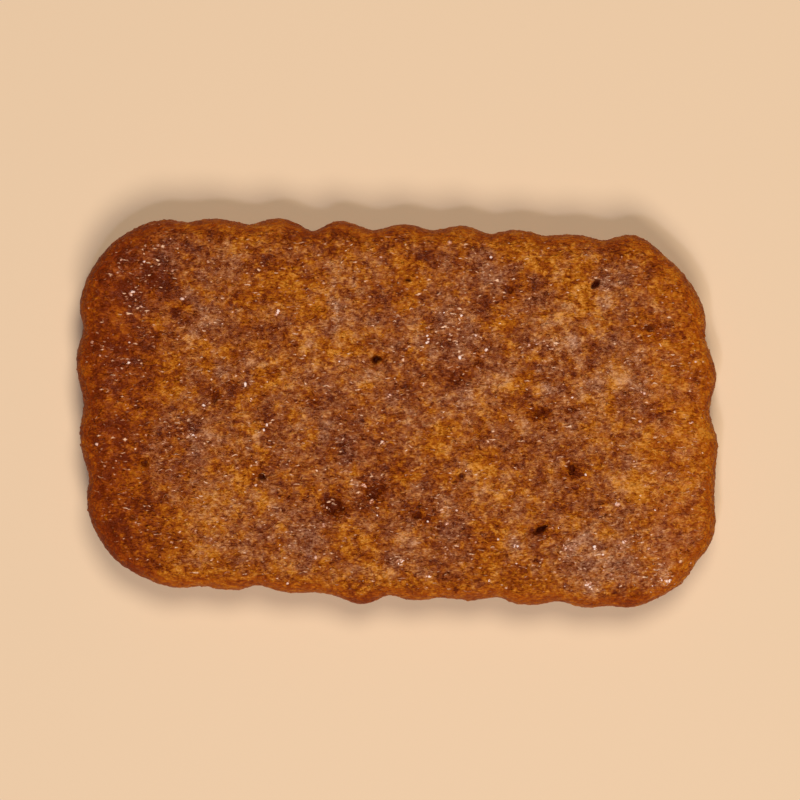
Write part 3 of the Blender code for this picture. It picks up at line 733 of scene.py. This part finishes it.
def floor_material(settings):
    material, tree, shader = new_material("pale floor")
    feed(tree, shader, {
        "Base Color": (*settings.floor_colour, 1.0), "Roughness": 0.85, "Specular IOR Level": 0.1})
    return material


# Pieces

class SPECULOOS_OT_crust(bpy.types.Operator):
    """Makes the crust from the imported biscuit: finer faces, lumps, crumb, pits and colours"""

    bl_idname = "speculoos.crust"
    bl_label = "Bake the crust"

    def execute(self, context):
        settings = context.scene.speculoos_crust
        crust = self.fine_copy(settings)
        self.raise_relief(crust, settings)
        self.colour(crust)
        crust.data.materials.clear()
        crust.data.materials.append(crust_material(settings))
        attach(crust, BODY)
        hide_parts(NODE)
        return {"FINISHED"}

    def fine_copy(self, settings):
        """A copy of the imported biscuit, merged, rounded, and meshed anew with small even faces."""
        crust = new_object("baked_crust", frame["nodes"][NODE].data.copy())
        activate(crust)
        bpy.ops.object.mode_set(mode="EDIT")
        bpy.ops.mesh.select_all(action="SELECT")
        bpy.ops.mesh.remove_doubles(threshold=1e-6)
        bpy.ops.mesh.tris_convert_to_quads(face_threshold=math.radians(40), shape_threshold=math.radians(40))
        bpy.ops.object.mode_set(mode="OBJECT")
        apply_modifier(crust, "rounding", "SUBSURF", levels=1, render_levels=1)
        crust.data.remesh_voxel_size = settings.voxel
        activate(crust)
        bpy.ops.object.voxel_remesh()
        apply_modifier(crust, "easing", "SMOOTH", factor=0.5, iterations=8)
        return crust

    def raise_relief(self, crust, settings):
        """Raises lumps and crumb, presses the pits, and thins the mesh to the triangles that are wanted."""
        mesh = crust.data
        smooth, normals = points_of(mesh), points_of(mesh, "normal")
        z, up = smooth[:, 2], normals[:, 2]
        upper = smoothstep(*RELIEF_RISE, z)
        pits, deepest = pit_weights(*wander(smooth, *PIT_WANDER))
        pits = pits * upper
        self.weigh_parts(crust, z, up, upper)
        weigh(crust, "pits", pits)
        for name, group, height, kind, size, level in RELIEF:
            self.raise_by(crust, name, group, height * getattr(settings, name, 1), kind, size, level)
        apply_modifier(crust, "pits", "DISPLACE", vertex_group="pits", strength=-deepest, mid_level=0.0,
                       direction="Z")

        raised = np.einsum("ij,ij->i", points_of(mesh) - smooth, normals)
        # relief is also read by the colour, as painted light on raised and painted shade on sunken places
        paint(mesh, "relief", np.clip(raised / RELIEF_UNIT, -RELIEF_MOST, RELIEF_MOST))
        # the pits' share, which paints shade into the pits' colour
        paint(mesh, "pit", smoothstep(0.15, 0.6, pits))
        paint(mesh, "facing", up)
        crust.vertex_groups.clear()
        share = settings.triangles / (2 * len(mesh.polygons))
        if share < 1.0:
            apply_modifier(crust, "thinning", "DECIMATE", ratio=share)
        keep_inside(crust)
        activate(crust)
        bpy.ops.object.shade_smooth()

    def weigh_parts(self, crust, z, up, upper):
        """Weighs the plain side, the wall and the underside, each fading into the next."""
        face_on_wall, face_on_slope, wall_on_face = 0.15, 0.4, 0.3
        above_foot = smoothstep(0, MM, z)
        level = smoothstep(0.80, 0.97, up)
        weigh(crust, "face", at_least(face_on_wall, upper) * at_least(face_on_slope, level) * above_foot)
        weigh(crust, "wall", (1.0 - upper) * smoothstep(0.15 * MM, 0.9 * MM, z) + upper * wall_on_face)
        weigh(crust, "under", (1.0 - smoothstep(0.1 * MM, 0.6 * MM, z)) * smoothstep(0.7, 0.95, -up))

    def raise_by(self, crust, name, group, height, kind, size, level):
        """Displaces the crust by a texture that is drawn out along the biscuit, as rolled dough is."""
        pattern = bpy.data.textures.new(name, kind)
        pattern.noise_scale = size
        guide = new_object("guide", None)
        guide.scale = (STRETCH, 1.0 / STRETCH, 1.0)
        bpy.context.view_layer.update()
        apply_modifier(crust, name, "DISPLACE", vertex_group=group, strength=height, mid_level=level,
                       texture=pattern, texture_coords="OBJECT", texture_coords_object=guide)
        bpy.data.objects.remove(guide)

    def colour(self, crust):
        """Stores what the rim, the patches and the ends do, for the material to read."""
        mesh = crust.data
        points = points_of(mesh)
        high = smoothstep(*RIM_RISE, points[:, 2])
        paint(mesh, "rim", (1.0 - smoothstep(*RIM_FACING, painted(mesh, "facing"))) * at_least(0.35, high))
        for name, values in baked_looks(points).items():
            paint(mesh, name, values)


def keep_inside(piece):
    """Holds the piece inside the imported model's box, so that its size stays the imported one."""
    mesh = piece.data
    points = np.clip(points_of(mesh), np.array(LOW), np.array(HIGH))
    mesh.vertices.foreach_set("co", points.ravel())
    mesh.update()


def spread(crust, count, seed, density):
    """Random places on the crust, the crust's own point beside each, and the source of the random numbers.
    Density is a function of points and normals."""
    mesh = crust.data
    mesh.calc_loop_triangles()
    corners = np.empty(len(mesh.loop_triangles) * 3, np.int32)
    mesh.loop_triangles.foreach_get("vertices", corners)
    corners = corners.reshape(-1, 3)
    points = points_of(mesh)
    a, b, c = (points[corners[:, i]] for i in range(3))
    across = np.cross(b - a, c - a)
    area = np.linalg.norm(across, axis=1)
    facing = across / np.maximum(area, 1e-20)[:, None]
    weight = area * density((a + b + c) / 3, facing)
    rng = np.random.default_rng(seed)
    chosen = rng.choice(len(corners), count, p=weight / weight.sum())
    u, v = rng.random(count), rng.random(count)
    over = u + v > 1
    u[over], v[over] = 1 - u[over], 1 - v[over]
    places = a[chosen] + u[:, None] * (b - a)[chosen] + v[:, None] * (c - a)[chosen]
    return places, corners[chosen, 0], rng


def grain_shape():
    """The ball that every grain is made from, of unit radius: its points and faces."""
    deselect()
    bpy.ops.mesh.primitive_ico_sphere_add(subdivisions=1, radius=1.0)
    ball = bpy.context.object
    points = points_of(ball.data).astype(float)
    faces = np.array([list(p.vertices) for p in ball.data.polygons])
    bpy.data.objects.remove(ball)
    return points, faces


def scatter(name, crust, count, seed, density, sizes, sink, flat, lumpy):
    """Grains set in the crust, as one mesh. Gives them, the crust's point beside each, and how many points
    each has. Sizes and sink are the least and the most that a radius and a depth may be."""
    places, beside, rng = spread(crust, count, seed, density)
    normals = points_of(crust.data, "normal")[beside]
    ball, faces = grain_shape()
    n = len(ball)
    radius = np.exp(rng.uniform(math.log(sizes[0]), math.log(sizes[1]), count))
    shape = ball[None] * (1.0 + lumpy * rng.uniform(-1, 1, (count, n, 1)))
    turn = np.linalg.qr(rng.normal(size=(count, 3, 3)))[0]
    shape = np.einsum("nij,nkj->nki", turn, shape * GRAIN_AXES) * (STRETCH, 1.0 / STRETCH, 1.0)
    along = np.einsum("nki,ni->nk", shape, normals)
    shape = shape + (flat - 1.0) * along[..., None] * normals[:, None]
    middle = places - normals * (radius * flat * rng.uniform(*sink, count))[:, None]
    points = middle[:, None] + shape * radius[:, None, None]
    mesh = bpy.data.meshes.new(name)
    mesh.vertices.add(count * n)
    mesh.vertices.foreach_set("co", points.astype(np.float32).ravel())
    corners = (faces[None] + (np.arange(count) * n)[:, None, None]).reshape(-1, 3)
    mesh.loops.add(corners.size)
    mesh.loops.foreach_set("vertex_index", corners.ravel().astype(np.int32))
    mesh.polygons.add(len(corners))
    mesh.polygons.foreach_set("loop_start", np.arange(0, corners.size, 3, dtype=np.int32))
    mesh.update(calc_edges=True)
    mesh.validate()
    grains = new_object(name, mesh)
    keep_inside(grains)
    activate(grains)
    bpy.ops.object.mode_set(mode="EDIT")
    bpy.ops.mesh.select_all(action="SELECT")
    bpy.ops.mesh.normals_make_consistent(inside=False)
    bpy.ops.object.mode_set(mode="OBJECT")
    bpy.ops.object.shade_smooth()
    return grains, beside, n


def finish_grains(grains, material):
    grains.data.materials.append(material)
    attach(grains, BODY)


def face_density(points, normals):
    """Grains lie all over the plain side, fewer on its rim and wall, and none in its pits or underneath."""
    on_rim, on_wall, deep, underneath = 0.3, 0.15, 0.25, -0.4
    x, y, z = points.T
    up = normals[:, 2]
    pits, _ = pit_weights(x, y)
    top = on_rim * smoothstep(0.4, 0.7, up) + (1.0 - on_rim) * smoothstep(0.75, 0.95, up)
    wall = on_wall * smoothstep(0.6 * MM, 2.0 * MM, z) * (up > underneath)
    return np.maximum(top, wall) * (pits < deep)


class SPECULOOS_OT_glints(bpy.types.Operator):
    """Sets grains of crumb and small beads of sugar in the crust"""

    bl_idname = "speculoos.glints"
    bl_label = "Set the crumb and sugar"

    def execute(self, context):
        settings = context.scene.speculoos_glints
        crust = bpy.data.objects["baked_crust"]
        size = settings.grain_size
        grains, beside, n = scatter("crumb_grains", crust, settings.grains, GRAIN_SEED, face_density,
                                    sizes=(0.4 * size, size), sink=(0.25, 0.75), flat=0.75, lumpy=0.22)
        self.carry_colours(grains, crust, beside, n)
        finish_grains(grains, bpy.data.materials["baked crust"])

        size = settings.bead_size
        beads, beside, n = scatter("sugar_beads", crust, settings.beads, BEAD_SEED, self.bead_density,
                                   sizes=(0.45 * size, size), sink=(0.2, 0.6), flat=0.7, lumpy=0.25)
        self.paint_bead_highlights(beads, points_of(crust.data)[beside], n)
        finish_grains(beads, bead_material())
        return {"FINISHED"}

    def bead_density(self, points, normals):
        """A few beads lie anywhere, more where the sugar ran, and most on the bead spots."""
        anywhere, where_glossy, on_spots = 0.008, 0.08, 12.0
        x, y = wander(points, *PATCH_WANDER)
        crowd = anywhere + where_glossy * patch_cover(x, y, GLOSSY_PATCHES)
        spots = patch_cover(points[:, 0], points[:, 1], BEAD_AND_HIGHLIGHT_SPOTS)
        return face_density(points, normals) * (crowd + on_spots * spots**2)

    def carry_colours(self, grains, crust, beside, n):
        """The grains are baked as the crust is where they sit, each a little paler or darker."""
        for name in ("pale", "bloom_and_sheen", "glossy", "end", "rim"):
            paint(grains.data, name, np.repeat(painted(crust.data, name)[beside], n))
        mean, difference = 0.03, 0.11
        lift_and_highlight = np.random.default_rng(GRAIN_TONE_SEED).normal(mean, difference, len(beside))
        paint(grains.data, "lift_and_highlight", np.repeat(lift_and_highlight, n))

    def paint_bead_highlights(self, beads, near, n):
        """Paints highlights into the beads' colour: some beads are painted brighter than others, and those on
        the bead spots brightest.
        """
        mostly_faint, on_spots = 1.3, 0.6
        lift_and_highlight = np.random.default_rng(BEAD_HIGHLIGHT_SEED).random(len(near)) ** mostly_faint
        lift_and_highlight += on_spots * smoothstep(0.3, 1.1, patch_cover(near[:, 0], near[:, 1], BEAD_AND_HIGHLIGHT_SPOTS))
        paint(beads.data, "lift_and_highlight", np.repeat(np.minimum(lift_and_highlight, 1.0), n))


class SPECULOOS_OT_stage(bpy.types.Operator):
    """Lays the floor, hangs the lights and sets the camera straight above"""

    bl_idname = "speculoos.stage"
    bl_label = "Set the stage"

    def execute(self, context):
        settings = context.scene.speculoos_stage
        self.floor(settings)
        self.lights(settings)
        self.camera(settings)
        context.scene.view_settings.view_transform = "Standard"
        return {"FINISHED"}

    def floor(self, settings):
        deselect()
        bpy.ops.mesh.primitive_plane_add(size=FLOOR_SIDE)
        floor = bpy.context.object
        floor.name = "floor"
        floor.data.materials.append(floor_material(settings))

    def lights(self, settings):
        world = bpy.data.worlds.new("studio")
        world.use_nodes = True
        tree = world.node_tree
        feed(tree, tree.nodes["Background"], {"Color": WORLD_COLOUR, "Strength": WORLD_STRENGTH})
        bpy.context.scene.world = world
        for name, power, share, size, place, colour in LIGHTS:
            self.light(name, getattr(settings, power) * share, size, Vector(place), colour)

    def light(self, name, power, size, place, colour):
        """A round soft light that shines on the middle of the biscuit."""
        data = bpy.data.lights.new(name, "AREA")
        data.shape = "DISK"
        data.size = size
        data.energy = power
        data.color = colour
        lamp = new_object(name, data)
        lamp.location = place
        lamp.rotation_euler = (-place).to_track_quat("-Z", "Y").to_euler()

    def camera(self, settings):
        """Straight above; its picture shows the biscuit where the photograph does."""
        data = bpy.data.cameras.new("camera")
        width = PHOTO_SIDE / PIXELS_PER_MM * MM
        data.lens = data.sensor_width * settings.camera_height / width
        offset = (BISCUIT_PIXEL - Vector((PHOTO_SIDE, PHOTO_SIDE)) / 2) / PIXELS_PER_MM * MM
        right = Vector((math.cos(BISCUIT_TURN), math.sin(BISCUIT_TURN)))
        up = Vector((-math.sin(BISCUIT_TURN), math.cos(BISCUIT_TURN)))
        aim = OUTLINE_MIDDLE - right * offset.x + up * offset.y
        camera = new_object("camera", data)
        camera.location = (aim.x, aim.y, settings.camera_height + WIDEST)
        camera.rotation_euler = (0.0, 0.0, BISCUIT_TURN)
        bpy.context.scene.camera = camera


class SPECULOOS_PT_panel(bpy.types.Panel):
    """Lists the pieces and their sizes and colours"""

    bl_label = "Speculoos"
    bl_idname = "SPECULOOS_PT_panel"
    bl_space_type = "VIEW_3D"
    bl_region_type = "UI"
    bl_category = "Speculoos"

    def draw(self, context):
        for operator, group in PANEL_ROWS:
            box = self.layout.box()
            box.operator(operator.bl_idname)
            settings = getattr(context.scene, group)
            for name in settings.__annotations__:
                box.prop(settings, name)


PANEL_ROWS = (
    (SPECULOOS_OT_crust, "speculoos_crust"),
    (SPECULOOS_OT_glints, "speculoos_glints"),
    (SPECULOOS_OT_stage, "speculoos_stage"),
)
CLASSES = (CrustSettings, GlintSettings, StageSettings, SPECULOOS_OT_crust, SPECULOOS_OT_glints,
           SPECULOOS_OT_stage, SPECULOOS_PT_panel)


def register():
    for cls in CLASSES:
        bpy.utils.register_class(cls)
    bpy.types.Scene.speculoos_crust = bpy.props.PointerProperty(type=CrustSettings)
    bpy.types.Scene.speculoos_glints = bpy.props.PointerProperty(type=GlintSettings)
    bpy.types.Scene.speculoos_stage = bpy.props.PointerProperty(type=StageSettings)


def unregister():
    del bpy.types.Scene.speculoos_stage
    del bpy.types.Scene.speculoos_glints
    del bpy.types.Scene.speculoos_crust
    for cls in reversed(CLASSES):
        bpy.utils.unregister_class(cls)


def main():
    register()
    bpy.ops.speculoos.crust()
    bpy.ops.speculoos.glints()
    bpy.ops.speculoos.stage()


if __name__ == "__main__":
    main()
